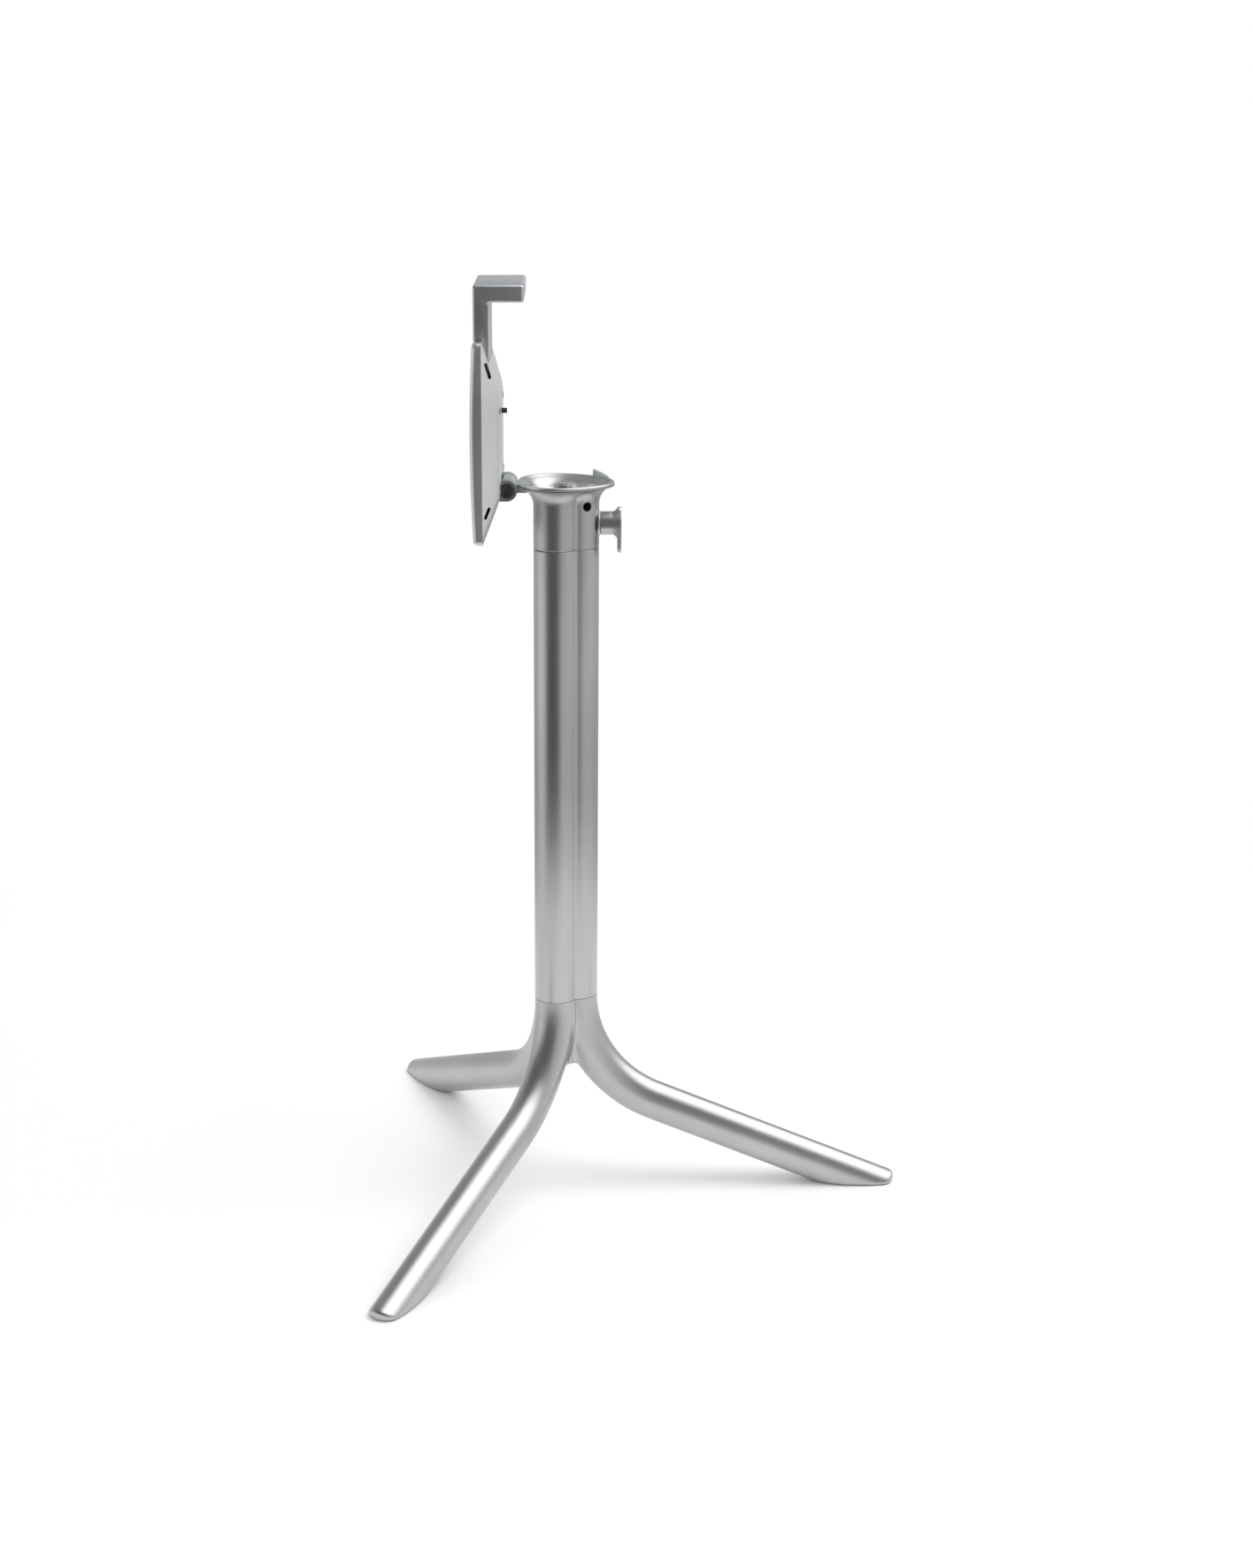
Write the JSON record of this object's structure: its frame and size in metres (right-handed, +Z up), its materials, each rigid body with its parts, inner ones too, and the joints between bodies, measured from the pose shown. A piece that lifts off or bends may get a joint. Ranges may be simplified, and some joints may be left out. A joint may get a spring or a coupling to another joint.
{
  "type": "tablet stand",
  "caption": "Floor-standing tablet stand with curved cast legs, a lobed column, a swivelling flared collar with clamp lever, and a tilting head with a handle bar.",
  "frame": {"origin": "on the floor, under the column's axis", "axes": "+Z up along the column; +X along the right leg, away from the hinge; the tablet faces -X"},
  "size_m": [0.5811, 0.665, 1.0195],
  "materials": {
    "cast_silver": "satin",
    "tube_silver": "satin anodised",
    "sheet_silver": "fine satin",
    "dark_cast": "satin",
    "steel": "zinc plated",
    "black_steel": "black oxide",
    "rubber": "matt",
    "bearing_plastic": "matt",
    "plug_plastic": "matt"
  },
  "bodies": {
    "stand": {"leg_right": "cast_silver", "leg_front": "cast_silver", "leg_back": "cast_silver", "centre_hub": "steel", "clamp_plate": "steel", "leg_screws": "black_steel", "foot_pads": "rubber", "column_tube": "tube_silver", "lower_plug": "plug_plastic", "column_spigot": "steel", "thrust_ring": "bearing_plastic", "tie_rod": "steel", "base_washer": "steel", "base_nut": "steel", "tie_washer": "steel", "tie_nut": "steel"},
    "swivel": {"collar": "cast_silver", "cup_rim": "cast_silver", "hinge_arm": "dark_cast", "arm_screws": "steel", "collar_bush": "bearing_plastic", "lever_seat": "dark_cast", "stop_lug": "dark_cast"},
    "lever": {"lever_hub": "cast_silver", "lever_blade": "cast_silver", "lever_screw": "steel"},
    "shoe": {"clamp_shoe": "bearing_plastic"},
    "head": {"tablet_plate": "sheet_silver", "rear_housing": "sheet_silver", "housing_screws": "black_steel", "hinge_bracket": "dark_cast", "bracket_screws": "steel", "hinge_bolt": "black_steel", "hinge_nut": "steel", "friction_washers": "bearing_plastic", "top_handle": "dark_cast", "handle_screws": "steel", "rest_bumper": "rubber"}
  },
  "joints": [
    {"name": "collar_swivel", "type": "hinge", "parent": "stand", "child": "swivel", "pos_m": [0, 0, 0.7745], "axis": [0, 0, 1], "range_deg": [-170, 170]},
    {"name": "head_tilt", "type": "hinge", "parent": "swivel", "child": "head", "pos_m": [-0.059, 0, 0.8045], "axis": [0, 1, 0], "range_deg": [-12, 84]},
    {"name": "lever_turn", "type": "hinge", "parent": "swivel", "child": "lever", "pos_m": [0.05, 0, 0.7656], "axis": [1, 0, 0], "range_deg": [0, 100]},
    {"name": "shoe_travel", "type": "slide", "parent": "swivel", "child": "shoe", "axis": [1, 0, 0], "range_m": [0, 0.0006]}
  ],
  "couplings": [
    {"joint": "shoe_travel", "follows": "lever_turn", "m_per_rad": 0.00034}
  ]
}
